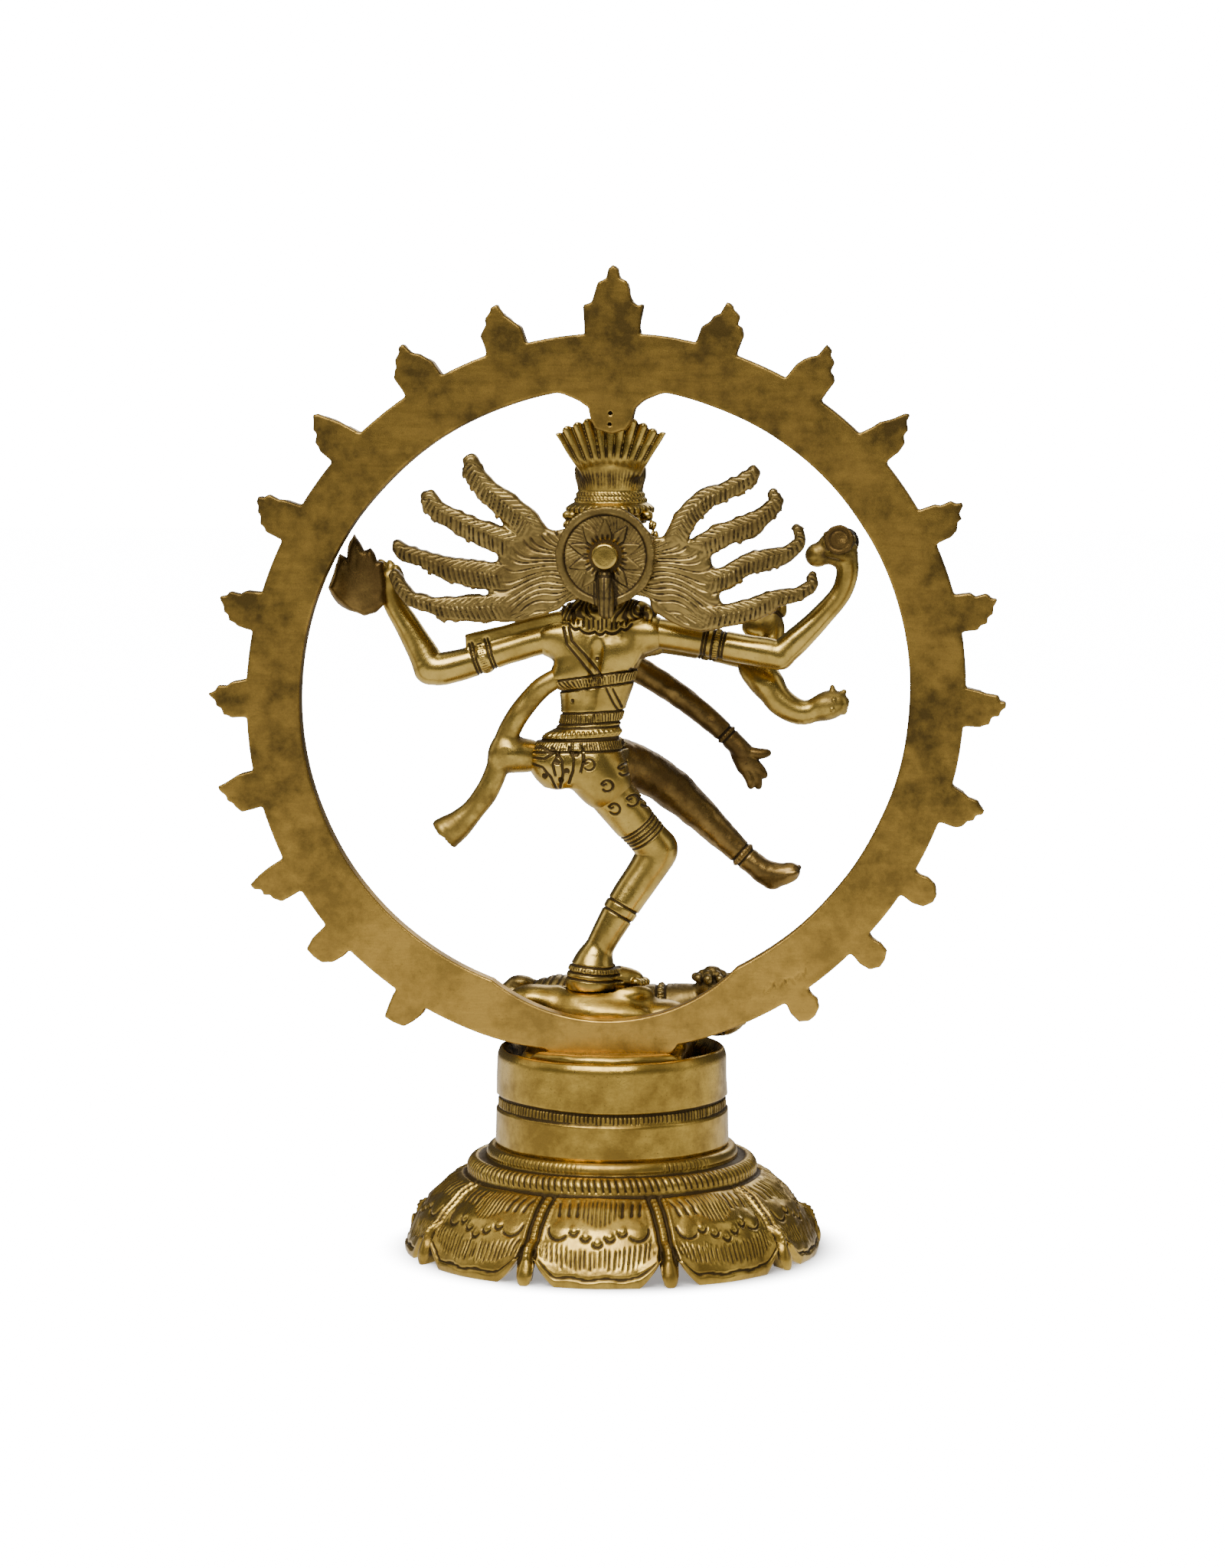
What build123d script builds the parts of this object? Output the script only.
from build123d import *
import os
from math import cos, radians, sin

# Cast brass nataraja, millimetres. Front faces -Y, +Z up, origin under the middle of the base.

# ---- driving dimensions ----
RING_CENTRE_Z = 145.5
RING_OUTER_R = 92.0
RING_INNER_R = 78.0
RING_BACK_Y = 18.0
RING_THICKNESS = 5.5
RING_FRONT_Y = RING_BACK_Y - RING_THICKNESS

SKIRT_FOOT_R = 54.3
SKIRT_TOP_Z = 27.5
SKIRT_WALL = 3.2
PETALS = 9
PETAL_PITCH = 360 / PETALS
FIRST_PETAL = 91.7          # degrees round from +X to the middle of the back petal
SCALLOP_RISE = 2.6
SCALLOP_WIDTH = 15.0
RIB_R = 1.4

DRUM_R = 29.9
DRUM_TOP_Z = 51.0
DRUM_WALL = 3.2
DRUM_RECESS = 5.0
DRUM_DECK = 3.0
DRUM_BAND = (36.4, 40.2)    # lower and upper edge of the milled band
DRUM_BORE_R = DRUM_R - DRUM_WALL
DECK_TOP_Z = DRUM_TOP_Z - DRUM_RECESS
DECK_BOTTOM_Z = DECK_TOP_Z - DRUM_DECK

PAD_TOP_Z = 53.5            # block that the ring stands on
FOOT_Z = 68.4               # sole of the standing foot

STUD_R = 3.0                # M6
STUD_CLEARANCE = 0.3
WASHER_R = 8.0
WASHER_THICKNESS = 1.6
NUT_FLATS = 10.0
NUT_THICKNESS = 5.0

FIGURE_Y = 2.0              # middle of the trunk, front to back
HEAD_BACK_Y = 13.0
DISC_CENTRE_Z = 181.1
DISC_R = 12.4
DISC_THICKNESS = 2.6
RIVET_HEAD_R = 3.35
RIVET_SHANK_R = 1.6
HAIR_FRONT_Y = 10.2
HAIR_THICKNESS = HEAD_BACK_Y - HAIR_FRONT_Y
BOSS_R = 5.5
SEAT_GAP = 0.2              # play round the root of a limb in its pocket
SEAT_LENGTHS = 3            # lengths of the limb that the pocket follows

FLAME_WIDTH = 10.4
FLAME_TIP_R = 100.4
FLAME_TIP_GAIN = 3.4        # the upper flames are taller
KNOB_R = 4.2
TOP_FLAME_ANGLE = -1.5
TOP_FLAME_WIDTH = 14.4
TOP_FLAME_TIP_R = 108.9
TAB_END_Z = 211.8
DIP_Z = 62.1
DIP_R = 47.0
# Angle of each flame from the top, positive towards +X, and the sideways lean of its tip
FLAMES = [(16, -1.2), (30, -2.4), (46, -3.2), (60.5, -3.0), (75.5, -2.6), (90, -2.0), (104, -2.4),
          (118.5, -2.8), (-18, 0.6), (-33, 1.0), (-48, 2.6), (-63, 2.8), (-77.5, 2.0), (-92, 1.0),
          (-107, 2.0)]
KNOBS = [131, 146.5, -120.5, -133.5, -147]

DAMARU_LENGTH = 10.6
DAMARU_R = 4.3
DAMARU_WAIST_R = 2.1

NECK_TOP_Z = 169.3
CROWN_Z = 192.3
FEATHERS = 9
FEATHER_SPREAD = 11.0       # degrees between neighbouring feathers
FEATHER_REACH = 18.2
FEATHER_X = -1.1
FEATHER_Z = 197.8
FEATHER_THICKNESS = 3.6
LOCK_ROOT = 5.6
LOCK_TIP = 3.2
LOCK_STEPS = 6

# Limbs as (x, y, z, radius) stations, each from its seat on the trunk outwards
REAR_LEFT_ARM = [(11.6, 3.9, 160.6, 3.9), (17.5, 4.2, 160.4, 4.6), (28.7, 4.6, 155.2, 4.0),
                 (40.0, 4.8, 152.6, 3.6), (46.2, 4.6, 153.0, 3.6), (51.4, 4.2, 160.9, 3.1),
                 (56.4, 3.6, 169.2, 2.6), (58.2, 3.4, 175.0, 3.0)]
REAR_RIGHT_ARM = [(-5.4, 4.4, 161.0, 3.7), (-11.4, 4.4, 161.6, 4.4), (-22.7, 4.6, 159.0, 3.9),
                  (-37.0, 4.8, 155.4, 3.6), (-45.6, 4.6, 156.0, 3.4), (-53.3, 4.2, 162.6, 3.1),
                  (-59.4, 3.8, 170.0, 2.8), (-61.4, 3.6, 175.4, 2.5), (-58.8, 3.6, 179.4, 2.2)]
FRONT_RIGHT_ARM = [(-5.6, -2.6, 158.2, 3.0), (-11.5, -5.6, 157.8, 3.7), (-24.0, -8.8, 154.4, 3.6),
                   (-34.4, -11.0, 151.8, 3.4), (-38.6, -12.4, 154.6, 3.2),
                   (-39.2, -13.4, 162.6, 2.5), (-39.0, -13.8, 166.4, 2.5)]
FRONT_LEFT_ARM = [(10.4, -3.0, 158.4, 3.4), (7.6, -8.0, 157.4, 3.7), (1.6, -11.2, 154.4, 3.8),
                  (-7.0, -13.2, 149.6, 3.6), (-15.7, -14.2, 144.6, 3.3), (-24.6, -14.6, 138.2, 2.9),
                  (-31.6, -14.6, 132.4, 2.6), (-36.0, -14.4, 127.4, 2.4), (-37.8, -14.2, 121.6, 1.6)]
STANDING_LEG = [(4.8, 4.4, 126.0, 5.5), (0.8, 3.2, 119.4, 5.8), (-5.2, -0.4, 112.0, 5.8),
                (-10.4, -2.2, 104.6, 5.2), (-8.6, -1.4, 99.6, 5.0), (-4.4, 0.4, 91.4, 4.8),
                (0.6, 2.0, 81.0, 4.0), (2.9, 2.4, 75.0, 3.9), (3.4, 2.2, 70.6, 3.4)]
RAISED_LEG = [(3.6, -5.4, 129.2, 4.8), (-3.4, -10.6, 127.4, 5.8), (-15.9, -16.6, 118.9, 5.6),
              (-26.8, -17.4, 109.6, 4.7), (-33.3, -17.0, 102.4, 3.7), (-38.6, -16.8, 98.6, 3.4),
              (-47.0, -16.6, 96.4, 2.0)]
SASH_BAND = [(9.6, 6.0, 150.4, 2.2), (15.0, 6.4, 149.0, 2.4), (21.3, 6.6, 143.9, 2.4),
             (25.6, 6.6, 138.0, 2.3), (26.6, 6.6, 130.0, 2.3), (27.4, 6.6, 123.4, 2.5),
             (31.1, 6.6, 116.9, 2.8), (36.0, 6.4, 113.0, 3.3), (42.4, 6.2, 109.0, 4.4)]
SASH_BRIDGE = [(17.6, 5.6, 128.6, 1.7), (22.0, 6.0, 128.2, 1.8), (26.6, 6.4, 127.6, 1.6)]
COBRA_BODY = [(-37.6, -10.4, 153.6, 2.0), (-38.0, -5.6, 150.4, 2.7), (-39.6, -3.4, 146.4, 3.5),
              (-43.2, -2.6, 142.2, 3.7), (-49.0, -2.4, 139.8, 3.3), (-54.6, -2.4, 140.8, 2.6)]
DWARF_BACK_Y = -3.5         # flat joint between the dwarf and the mound
FLAME_BOWL_Y = 5.2          # flat joint between the hand and the flame
DAMARU_CENTRE = (-56.4, 3.6, 183.2)
DAMARU_TILT = 68            # degrees the drum's axis leans from upright, towards -X
FIST_LENGTH = 2.4


# ---- helpers ----
def eased(stations):
    """The stations with one more between each pair, on a smooth curve through them all."""
    rows = [Vector(x, y, z) for x, y, z, _ in stations]
    last = len(rows) - 1
    slopes = [(rows[min(i + 1, last)] - rows[max(i - 1, 0)]) / (2 if 0 < i < last else 1)
              for i in range(last + 1)]
    result = []
    for index in range(last):
        middle = (rows[index] + rows[index + 1]) / 2 + (slopes[index] - slopes[index + 1]) / 8
        radius = (stations[index][3] + stations[index + 1][3]) / 2
        result += [(rows[index], stations[index][3]), (middle, radius)]
    return result + [(rows[last], stations[last][3])]


def limb(*stations):
    """Round limb lofted through (x, y, z, radius) stations."""
    path = eased(stations)
    last = len(path) - 1
    sections = []
    for index, (point, radius) in enumerate(path):
        run = (path[min(index + 1, last)][0] - path[max(index - 1, 0)][0]).normalized()
        side = run.cross(Vector(0, 1, 0)).normalized()
        sections.append(Plane(origin=point, x_dir=side, z_dir=run) * Circle(radius))
    return loft(sections)


def stack(*stations):
    """Upright form lofted through (z, x, y, half width, half depth) ellipses."""
    return loft([Pos(x, y, z) * Ellipse(wide, deep) for z, x, y, wide, deep in stations])


def turned(profile, x=0, y=0):
    """Solid of revolution about a vertical axis from an (r, z) outline."""
    outline = make_face(Plane.XZ * Polyline(*profile, close=True))
    return Pos(x, y, 0) * revolve(outline, axis=Axis.Z)


def plate(outline, back_y, thickness):
    """Flat plate from an (x, z) outline, its back face at back_y."""
    face = make_face(Polyline(*outline, close=True))
    return upright(face, back_y, thickness)


def upright(face, back_y, thickness):
    """A face drawn with z as its second coordinate, stood up and given its thickness."""
    return Pos(0, back_y, 0) * Rot(90, 0, 0) * extrude(face, thickness)


def ball(x, y, z, radius):
    return Pos(x, y, z) * Sphere(radius)


def seat(stations):
    """Round pocket for the root of a limb, as cutters along its first lengths."""
    path = eased(stations)[:SEAT_LENGTHS + 1]
    cutters = []
    for (start, start_r), (end, end_r) in zip(path, path[1:]):
        radius = max(start_r, end_r) + SEAT_GAP
        middle = Plane(origin=(start + end) / 2, z_dir=end - start)
        cutters += [middle * Cylinder(radius, (end - start).length), ball(*end, radius)]
    return cutters


def block(x_range, y_range, z_range):
    """Box between two limits on each axis."""
    sizes = [high - low for low, high in (x_range, y_range, z_range)]
    middle = [(high + low) / 2 for low, high in (x_range, y_range, z_range)]
    return Pos(*middle) * Box(*sizes)


def fitted(part, *cutters):
    """The part with its joint faces cut; only its main solid is kept."""
    for cutter in cutters:
        part = part - cutter
    return max(part.solids(), key=lambda solid: solid.volume)


def polar(radius, angle):
    """Point on the ring's plane, the angle in degrees from the top, positive towards +X."""
    return (radius * sin(radians(angle)), RING_CENTRE_Z + radius * cos(radians(angle)))


# ---- base ----
def lotus_skirt():
    """Hollow bell of nine petals parted by ribs, its edge scalloped off the ground at each rib."""
    outer = [(DRUM_BORE_R, SKIRT_TOP_Z), (32.2, SKIRT_TOP_Z), (34.2, 26.6), (34.5, 25.4),
             (34.2, 24.4), (36.2, 24.2), (37.8, 22.8), (38.0, 21.2), (39.4, 20.5), (44.1, 18.2),
             (49.0, 13.9), (52.2, 8.8), (53.9, 4.4), (SKIRT_FOOT_R, 1.6), (SKIRT_FOOT_R - 0.3, 0)]
    inner = [(SKIRT_FOOT_R - 0.3 - SKIRT_WALL, 0), (50.6, 4.4), (48.8, 8.2), (45.6, 12.4),
             (41.6, 15.4), (36.6, 18.0), (31.0, 20.4), (DRUM_BORE_R, 23.4)]
    skirt = turned(outer + inner)
    rib_line = [(38.6, 20.6), (43.6, 18.1), (48.2, 14.2), (51.4, 9.2), (52.7, 5.4), (53.0, 2.4)]
    rib = limb(*[(r, 0, z, RIB_R) for r, z in rib_line])
    gap = Polyline((-SCALLOP_WIDTH / 2, -1), (-SCALLOP_WIDTH / 2, 0), (0, SCALLOP_RISE),
                   (SCALLOP_WIDTH / 2, 0), (SCALLOP_WIDTH / 2, -1), close=True)
    scallop = Pos(SKIRT_FOOT_R - 8, 0, 0) * extrude(Plane.YZ * make_face(gap), 12)
    for index in range(PETALS):
        seam = Rot(0, 0, FIRST_PETAL + (index + 0.5) * PETAL_PITCH)
        skirt = skirt + seam * rib - seam * scallop
    return fitted(skirt)


def pedestal_drum():
    """Cup on the skirt: a milled band outside, a recess and a bored deck inside."""
    low, high = DRUM_BAND
    foot_r = DRUM_R + 0.4
    profile = [(foot_r, SKIRT_TOP_Z), (foot_r, low - 0.5), (foot_r - 0.5, low), (foot_r - 0.5, high),
               (DRUM_R, high + 0.5), (DRUM_R, DRUM_TOP_Z), (DRUM_BORE_R, DRUM_TOP_Z),
               (DRUM_BORE_R, DECK_TOP_Z), (STUD_R + STUD_CLEARANCE, DECK_TOP_Z),
               (STUD_R + STUD_CLEARANCE, DECK_BOTTOM_Z), (DRUM_BORE_R, DECK_BOTTOM_Z),
               (DRUM_BORE_R, SKIRT_TOP_Z)]
    return turned(profile)


def plinth_pad():
    """Block in the drum's recess, with the mound that the standing foot is on."""
    footprint = (Pos(1, 1.5) * RectangleRounded(40, 47, 9)) & Circle(DRUM_BORE_R)
    low = Pos(0, 0, DECK_TOP_Z) * extrude(footprint, PAD_TOP_Z - DECK_TOP_Z)
    mound = loft([Pos(1, 0, DECK_TOP_Z + 1) * Ellipse(21, 15), Pos(1.5, 0, 62) * Ellipse(17, 12),
                  Pos(1.5, 0.5, FOOT_Z) * Ellipse(13, 6.5)])
    behind = block((-40, 40), (RING_FRONT_Y, 40), (PAD_TOP_Z, 80))
    before = block((-40, 40), (-40, DWARF_BACK_Y), (PAD_TOP_Z, 80))
    socket = Pos(0, 0, DECK_TOP_Z + 5) * Cylinder(STUD_R, 10)
    return fitted(low + mound, behind, before, socket)


def stud_hardware():
    """Stud from the pad down through the deck, with the washer and nut that hold it."""
    washer_z = DECK_BOTTOM_Z - WASHER_THICKNESS
    nut_z = washer_z - NUT_THICKNESS
    tail_z = nut_z - 3
    stud_top = DECK_TOP_Z + 10
    stud = Pos(0, 0, (tail_z + stud_top) / 2) * Cylinder(STUD_R, stud_top - tail_z)
    ring = Circle(WASHER_R) - Circle(STUD_R + STUD_CLEARANCE)
    washer = Pos(0, 0, washer_z) * extrude(ring, WASHER_THICKNESS)
    hexagon = RegularPolygon(NUT_FLATS / 2, 6, major_radius=False) - Circle(STUD_R)
    nut = Pos(0, 0, nut_z) * extrude(hexagon, NUT_THICKNESS)
    return fitted(stud), fitted(washer), fitted(nut)


# ---- ring of flames ----
def flame(angle, width, tip_r, lean=0.0):
    """Stepped leaf on the ring's edge, its tip leaning sideways by lean."""
    height = tip_r - RING_OUTER_R
    half = width / 2
    outline = [(-half, -2), (-half * 1.08, height * 0.42), (-half * 0.62, height * 0.66),
               (lean - half * 0.2, height * 0.92), (lean, height), (lean + half * 0.3, height * 0.8),
               (half * 0.74, height * 0.6), (half * 1.08, height * 0.36), (half, -2)]
    leaf = make_face(Polyline(*[(x, RING_OUTER_R + r) for x, r in outline], close=True))
    return Pos(0, RING_CENTRE_Z) * Rot(0, 0, -angle) * leaf


def knob(angle, radius):
    x, z = polar(RING_OUTER_R + radius * 0.9, angle)
    return Pos(x, z) * Circle(radius)


def flame_ring():
    """Flat ring with its flames, the tab over the crest and a dip over the pad."""
    face = Pos(0, RING_CENTRE_Z) * (Circle(RING_OUTER_R) - Circle(RING_INNER_R))
    face -= Pos(0, DIP_Z + DIP_R) * Circle(DIP_R)
    tab = Polyline((12.2, 223), (5.0, 218.4), (3.2, 212.6), (-1.7, TAB_END_Z), (-6.4, 212.6),
                   (-8.4, 218.2), (-14.0, 223), close=True)
    face += make_face(tab)
    for angle, lean in FLAMES:
        tip_r = FLAME_TIP_R + FLAME_TIP_GAIN * max(0, cos(radians(angle)))
        face += flame(angle, FLAME_WIDTH, tip_r, lean)
    for angle in KNOBS:
        face += knob(angle, KNOB_R)
    face += flame(TOP_FLAME_ANGLE, TOP_FLAME_WIDTH, TOP_FLAME_TIP_R)
    return fitted(upright(face, RING_BACK_Y, RING_THICKNESS))


# ---- figure ----
def torso():
    """Trunk from the seat to the neck, swung over the standing leg, with a pocket for each limb."""
    trunk = stack(
        (121.3, 9.6, 3.0, 5.0, 4.5), (125.8, 9.4, 1.4, 10.4, 7.6), (131.8, 9.4, 1.2, 12.2, 8.0),
        (140.5, 5.2, FIGURE_Y, 7.8, 5.8), (147.8, 3.7, FIGURE_Y, 9.8, 6.6),
        (156.8, 3.2, FIGURE_Y, 12.4, 6.8), (161.8, 3.1, FIGURE_Y, 13.4, 5.4),
        (165.2, 2.6, FIGURE_Y, 5.4, 4.4), (NECK_TOP_Z, 1.6, FIGURE_Y, 4.0, 3.9))
    roots = (REAR_LEFT_ARM, REAR_RIGHT_ARM, FRONT_RIGHT_ARM, FRONT_LEFT_ARM, STANDING_LEG,
             RAISED_LEG, SASH_BAND, SASH_BRIDGE)
    return fitted(trunk, *[cutter for stations in roots for cutter in seat(stations)])


def head():
    """Plain head with a boss behind it for the halo disc."""
    form = stack((NECK_TOP_Z, 1.4, 1.8, 4.4, 4.4), (172.3, 1.0, -0.4, 6.0, 6.6),
                 (176.8, 0.8, 0.0, 7.2, 8.2), (181.8, 0.4, 0.8, 7.8, 8.6),
                 (187.8, 0.4, 1.6, 7.6, 8.4), (CROWN_Z, 0.4, FIGURE_Y, 7.2, 7.6))
    return fitted(form + head_boss(BOSS_R, 8), head_boss(RIVET_SHANK_R, 6))


def head_boss(radius, length):
    """Round bar that ends on the back of the head, on the halo disc's axis."""
    return Pos(0, HEAD_BACK_Y - length / 2, DISC_CENTRE_Z) * Rot(90, 0, 0) * Cylinder(radius, length)


def crest():
    """Crown, flaring bell and the fan of feathers that the ring's tab backs."""
    bell = turned([(0, CROWN_Z), (7.2, CROWN_Z), (8.0, CROWN_Z + 1), (8.0, CROWN_Z + 4), (7.0, 197.6),
                   (8.4, 204.3), (7.0, 206.8), (0, 207.8)], x=0.4, y=FIGURE_Y)
    tips = []
    for index in range(FEATHERS):
        angle = radians((index - (FEATHERS - 1) / 2) * FEATHER_SPREAD)
        reach = FEATHER_REACH - (index % 2)
        tips.append((FEATHER_X + 1.1 * reach * sin(angle), FEATHER_Z + reach * cos(angle)))
    fan = plate([(-6.4, 201.8), *tips, (6.6, 201.8)], RING_FRONT_Y, FEATHER_THICKNESS)
    return fitted(bell + fan)


def head_disc():
    """Halo disc riveted behind the head, with a tassel under it."""
    face = Pos(0, DISC_CENTRE_Z) * (Circle(DISC_R) - Circle(RIVET_SHANK_R))
    face += Pos(0, DISC_CENTRE_Z - DISC_R) * Rectangle(4.6, 4.4)
    return fitted(upright(face, HEAD_BACK_Y + DISC_THICKNESS, DISC_THICKNESS))


def disc_rivet():
    """Domed rivet: the head stands on the disc, the shank runs into the skull."""
    seat_y = HEAD_BACK_Y + DISC_THICKNESS
    tail = -(6 + DISC_THICKNESS)
    profile = [(0, tail), (RIVET_SHANK_R, tail), (RIVET_SHANK_R, 0), (RIVET_HEAD_R, 0),
               (RIVET_HEAD_R, 1.0), (RIVET_HEAD_R - 0.8, 1.7), (0, 2.1)]
    return fitted(Pos(0, seat_y, DISC_CENTRE_Z) * Rot(-90, 0, 0) * turned(profile))


def lock(points, root, tip):
    """Face of one lock of hair: a strip along a spline, tapering from root to tip width."""
    line = Spline(*points)
    rim = []
    for side in (1, -1):
        edge = []
        for step in range(LOCK_STEPS + 1):
            share = step / LOCK_STEPS
            run = line % share
            width = side * (root + (tip - root) * share) / 2
            edge.append((line @ share) + Vector(-run.Y, run.X) * width)
        rim.append(edge)
    left, right = rim
    return make_face([Spline(*left), Line(left[-1], right[-1]), Spline(*right), Line(right[0], left[0])])


def hair_fan(body, locks):
    """Fan of hair beside the head, cast flat, with its loose locks."""
    face = make_face(Polyline(*body, close=True))
    for points in locks:
        face += lock(points, LOCK_ROOT, LOCK_TIP)
    return fitted(upright(face, HEAD_BACK_Y, HAIR_THICKNESS), head_boss(BOSS_R, 8))


def left_hair():
    body = [(2.6, 187.0), (17.5, 186.2), (27.0, 182.4), (30.5, 176.0), (29.2, 169.0), (24.8, 163.6),
            (11.4, 168.6), (2.6, 175.0)]
    locks = [[(17.0, 181.5), (24.8, 193.2), (32.2, 199.5), (35.4, 205.8)],
             [(23.0, 178.5), (35.5, 188.9), (43.0, 192.0), (47.8, 195.7)],
             [(24.0, 175.4), (40.9, 178.3), (50.5, 181.4), (55.0, 184.6)],
             [(22.0, 167.6), (39.8, 167.1), (49.5, 169.7), (55.4, 177.1)]]
    return hair_fan(body, locks)


def right_hair():
    body = [(-2.6, 187.0), (-17.0, 185.2), (-24.6, 182.0), (-28.6, 174.6), (-28.6, 166.0),
            (-21.4, 161.6), (-11.0, 169.4), (-2.6, 175.0)]
    locks = [[(-16.4, 182.6), (-23.0, 194.4), (-30.4, 198.6), (-37.3, 202.8)],
             [(-22.0, 181.2), (-30.5, 190.2), (-38.9, 192.3), (-42.0, 197.1)],
             [(-24.6, 172.6), (-35.8, 179.7), (-45.3, 182.9), (-48.4, 188.1)],
             [(-24.4, 165.0), (-36.9, 171.2), (-48.5, 171.8), (-52.5, 176.4)]]
    return hair_fan(body, locks)


def rear_left_arm():
    """Arm that bends up at the elbow to hold out the flame on its flat hand."""
    hand = ball(58.6, 3.0, 176.6, 3.4)
    flat = block((50, 80), (FLAME_BOWL_Y, 20), (160, 190))
    return fitted(limb(*REAR_LEFT_ARM) + hand, flat)


def flame_bowl():
    """Tongues of flame standing on the open rear left hand."""
    outline = [(58.6, 180.2), (58.8, 172.6), (60.4, 167.6), (63.4, 165.0), (67.6, 165.8),
               (71.4, 169.6), (73.0, 174.6), (71.4, 176.4), (70.8, 181.0), (68.6, 179.2),
               (67.1, 186.2), (64.6, 181.0), (62.4, 183.0), (61.4, 179.4)]
    return fitted(plate(outline, FLAME_BOWL_Y + 3.6, 3.6))


def on_damaru(solid):
    """A solid made about the upright axis, moved to the hourglass drum's tilted one."""
    return Pos(*DAMARU_CENTRE) * Rot(0, -DAMARU_TILT, 0) * solid


def rear_right_arm():
    """Arm that rises to its fist, closed round the waist of the hourglass drum."""
    fist = on_damaru(Cylinder(DAMARU_WAIST_R + 1.9, FIST_LENGTH))
    grip = on_damaru(Cylinder(DAMARU_WAIST_R, 4 * FIST_LENGTH))
    return fitted(limb(*REAR_RIGHT_ARM) + fist, grip)


def damaru():
    """Hourglass drum, its waist held in the fist."""
    half, waist = DAMARU_LENGTH / 2, FIST_LENGTH / 2
    return fitted(on_damaru(turned(
        [(0, -half), (DAMARU_R, -half), (DAMARU_R, 1.2 - half), (DAMARU_WAIST_R, -waist),
         (DAMARU_WAIST_R, waist), (DAMARU_R, half - 1.2), (DAMARU_R, half), (0, half)])))


def front_right_arm():
    """Arm with its open hand raised in front and a pocket for the cobra's tail."""
    palm = block((-42.1, -35.5), (-15.7, -12.3), (165.4, 174.4))
    return fitted(limb(*FRONT_RIGHT_ARM) + palm, *seat(COBRA_BODY))


def front_left_arm():
    """Arm across the chest, its hand hanging over the raised foot."""
    return fitted(limb(*FRONT_LEFT_ARM))


def cobra():
    """Snake hanging from the front right forearm, its hood spread at the end."""
    hood = plate([(-53.2, 137.8), (-57.4, 139.8), (-60.6, 139.6), (-60.0, 141.8), (-62.0, 143.6),
                  (-59.6, 144.0), (-59.4, 146.2), (-56.6, 145.0), (-52.6, 143.4)], -0.9, 3.0)
    return fitted(limb(*COBRA_BODY) + hood)


def sash():
    """Sash loop from the waist, brought in at the hip and flung out to a flared end."""
    return fitted(limb(*SASH_BAND) + limb(*SASH_BRIDGE))


def standing_leg():
    """Bent leg that carries the figure, its foot flat on the pad."""
    foot = stack((FOOT_Z, 0.4, 0.8, 10.0, 4.9), (FOOT_Z + 2.6, 1.0, 1.2, 9.4, 4.9),
                 (FOOT_Z + 5.2, 2.0, 1.6, 6.4, 4.4))
    return fitted(limb(*STANDING_LEG) + foot)


def raised_leg():
    """Leg raised across the body, its foot pointing outwards."""
    return fitted(limb(*RAISED_LEG) + ball(-42.2, -16.8, 96.2, 3.0))


def dwarf():
    """Small figure lying across the drum in front of the mound, its head raised at the right."""
    body = limb((26.0, -7.0, 62.6, 4.6), (17.0, -8.5, 63.2, 7.0), (4.0, -10.0, 60.6, 7.4),
                (-9.0, -10.5, 60.4, 7.2), (-19.0, -10.0, 62.4, 6.2), (-23.0, -9.6, 64.4, 4.6))
    skull = ball(-26.0, -8.8, 67.4, 5.4)
    forearm = limb((-21.0, -8.0, 60.6, 3.2), (-28.0, -4.0, 58.2, 2.8), (-37.6, 1.0, 59.4, 2.0))
    knees = limb((24.6, -7.0, 65.6, 4.2), (24.0, -3.4, 58.6, 3.6))
    under = block((-50, 50), (-40, 40), (30, PAD_TOP_Z))
    behind = block((-21.5, 23.5), (DWARF_BACK_Y, 40), (PAD_TOP_Z, 90))
    above = block((-14, 14), (-6, 40), (FOOT_Z, 90))
    return fitted(body + skull + forearm + knees, under, behind, above)


def main():
    os.makedirs("parts", exist_ok=True)
    stud, washer, nut = stud_hardware()
    nodes = {
        "lotus_skirt": lotus_skirt(), "pedestal_drum": pedestal_drum(), "plinth_pad": plinth_pad(),
        "mounting_stud": stud, "stud_washer": washer, "stud_nut": nut, "flame_ring": flame_ring(),
        "dwarf": dwarf(), "torso": torso(), "head": head(), "crest": crest(),
        "head_disc": head_disc(), "disc_rivet": disc_rivet(), "left_hair": left_hair(),
        "right_hair": right_hair(), "rear_left_arm": rear_left_arm(),
        "rear_right_arm": rear_right_arm(), "front_left_arm": front_left_arm(),
        "front_right_arm": front_right_arm(), "flame_bowl": flame_bowl(), "damaru": damaru(),
        "cobra": cobra(), "sash": sash(), "standing_leg": standing_leg(), "raised_leg": raised_leg(),
    }
    for name, solid in nodes.items():
        export_step(solid, f"parts/{name}.step")
        print(f"{name:18s} {solid.volume:9.1f} mm3  valid {solid.is_valid}")


if __name__ == "__main__":
    main()
